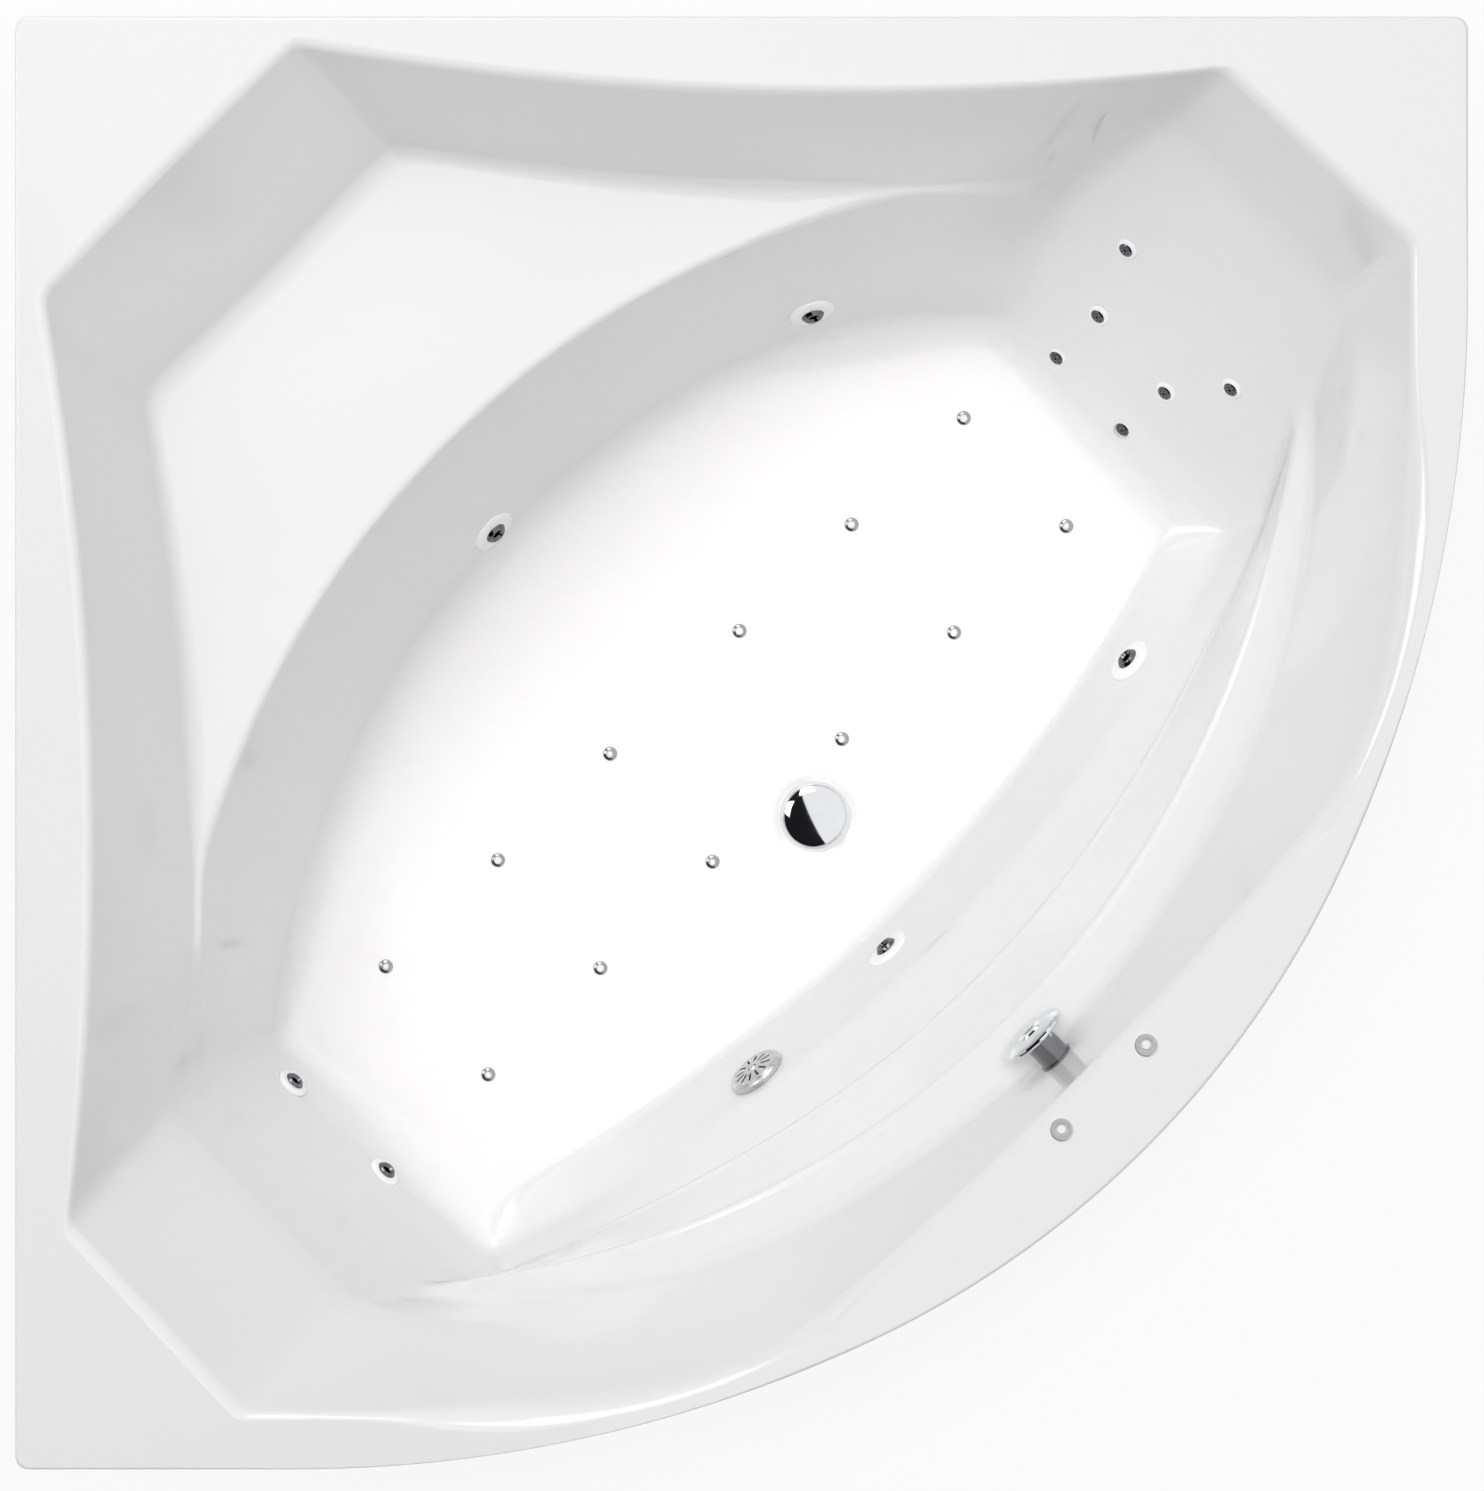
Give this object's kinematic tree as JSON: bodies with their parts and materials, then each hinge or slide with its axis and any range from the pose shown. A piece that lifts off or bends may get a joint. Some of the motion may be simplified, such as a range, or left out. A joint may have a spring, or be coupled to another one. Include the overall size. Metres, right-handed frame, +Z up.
{
  "type": "jetted bathtub",
  "caption": "Jetted corner bathtub with corner seat, side, foot and backrest jets, floor air nozzles, pop-up drain, overflow knob, rim buttons, and frame, pump and blower below.",
  "frame": {"origin": "middle of the 1.5 m square footprint, on the floor of the room", "axes": "+Z up; -X and +Y are the two wall sides, the rounded front faces +X and -Y"},
  "size_m": [1.5, 1.5, 0.604],
  "materials": {
    "acrylic": "glossy",
    "white_fitting": "glossy",
    "chrome": "polished",
    "satin_chrome": "satin",
    "rubber": "matte",
    "dark_plastic": "matte",
    "pipe": "satin",
    "wood": "matte",
    "steel": "satin",
    "motor": "satin",
    "box": "satin",
    "button_white": "glossy",
    "cable": "matte"
  },
  "bodies": {
    "tub": {"shell": "acrylic", "floor_board": "wood", "frame": "steel", "rim_blocks": "wood", "rim_brackets": "steel", "frame_screws": "steel", "foot_rods": "steel", "foot_nuts": "steel", "foot_pads": "dark_plastic", "drain_flange": "chrome", "drain_gasket": "rubber", "drain_body": "dark_plastic", "trap": "dark_plastic", "trap_nut": "dark_plastic", "overflow_neck": "chrome", "overflow_screw": "chrome", "overflow_gasket": "rubber", "overflow_body": "dark_plastic", "overflow_pipe": "pipe", "bowden_cable": "cable", "side_jet_faces": "white_fitting", "side_jet_bodies": "pipe", "foot_jet_faces": "white_fitting", "foot_jet_bodies": "pipe", "jet_gaskets": "rubber", "micro_jet_faces": "white_fitting", "micro_jet_caps": "chrome", "micro_jet_bodies": "pipe", "water_chambers": "pipe", "air_nozzle_caps": "white_fitting", "air_nozzle_pins": "white_fitting", "air_nozzle_bodies": "dark_plastic", "air_pipework": "pipe", "suction_cover": "satin_chrome", "suction_screw": "chrome", "suction_fitting": "pipe", "suction_nut": "pipe", "suction_pipe": "pipe", "water_pipework": "pipe", "equipment_board": "wood", "pump_motor": "motor", "pump_wet_end": "dark_plastic", "blower_casing": "dark_plastic", "button_rings": "chrome", "button_bodies": "dark_plastic", "button_tubes": "cable", "control_box": "box"},
    "plug": {"drain_plug": "chrome", "plug_seal": "rubber"},
    "knob": {"overflow_knob": "chrome"},
    "button_water": {"button_cap_water": "button_white"},
    "button_air": {"button_cap_air": "button_white"},
    "pump_impeller": {"pump_rotor": "steel"},
    "blower_impeller": {"blower_rotor": "steel"},
    "nozzle_1": {"jet_nozzle_1": "chrome"},
    "nozzle_2": {"jet_nozzle_2": "chrome"},
    "nozzle_3": {"jet_nozzle_3": "chrome"},
    "nozzle_4": {"jet_nozzle_4": "chrome"},
    "nozzle_5": {"jet_nozzle_5": "chrome"},
    "nozzle_6": {"jet_nozzle_6": "chrome"}
  },
  "joints": [
    {"name": "knob_turn", "type": "hinge", "parent": "tub", "child": "knob", "pos_m": [0.32733, -0.32733, 0.48525], "axis": [-0.6797, 0.6866, 0.2582], "range_deg": [0, 110]},
    {"name": "plug_lift", "type": "slide", "parent": "tub", "child": "plug", "axis": [0, 0, 1], "range_m": [0, 0.01]},
    {"name": "water_button_press", "type": "slide", "parent": "tub", "child": "button_water", "axis": [0, 0, -1], "range_m": [0, 0.004], "stiffness_N_per_m": 600, "springref_m": -0.003},
    {"name": "air_button_press", "type": "slide", "parent": "tub", "child": "button_air", "axis": [0, 0, -1], "range_m": [0, 0.004], "stiffness_N_per_m": 600, "springref_m": -0.003},
    {"name": "pump_spin", "type": "hinge", "parent": "tub", "child": "pump_impeller", "pos_m": [-0.57983, 0.25456, 0.205], "axis": [0.7071, 0.7071, 0], "continuous": true},
    {"name": "blower_spin", "type": "hinge", "parent": "tub", "child": "blower_impeller", "pos_m": [-0.27931, 0.54801, 0.15], "axis": [0, 0, 1], "continuous": true},
    {"name": "nozzle_1_tilt", "type": "hinge", "parent": "tub", "child": "nozzle_1", "pos_m": [-0.26088, 0.2232, 0.20445], "axis": [0.688, 0.7257, 0], "range_deg": [-12, 12]},
    {"name": "nozzle_2_tilt", "type": "hinge", "parent": "tub", "child": "nozzle_2", "pos_m": [0.073, 0.45145, 0.22695], "axis": [0.9541, 0.2994, 0], "range_deg": [-12, 12]},
    {"name": "nozzle_3_tilt", "type": "hinge", "parent": "tub", "child": "nozzle_3", "pos_m": [0.40758, 0.0848, 0.19844], "axis": [-0.6387, -0.7695, 0], "range_deg": [-12, 12]},
    {"name": "nozzle_4_tilt", "type": "hinge", "parent": "tub", "child": "nozzle_4", "pos_m": [0.15474, -0.21704, 0.21878], "axis": [-0.7268, -0.6868, 0], "range_deg": [-12, 12]},
    {"name": "nozzle_5_tilt", "type": "hinge", "parent": "tub", "child": "nozzle_5", "pos_m": [-0.4711, -0.35728, 0.19092], "axis": [-0.7129, 0.7012, 0], "range_deg": [-12, 12]},
    {"name": "nozzle_6_tilt", "type": "hinge", "parent": "tub", "child": "nozzle_6", "pos_m": [-0.37491, -0.45056, 0.18527], "axis": [-0.7023, 0.7119, 0], "range_deg": [-12, 12]}
  ],
  "couplings": [
    {"joint": "plug_lift", "follows": "knob_turn", "m_per_rad": 0.0052082}
  ]
}
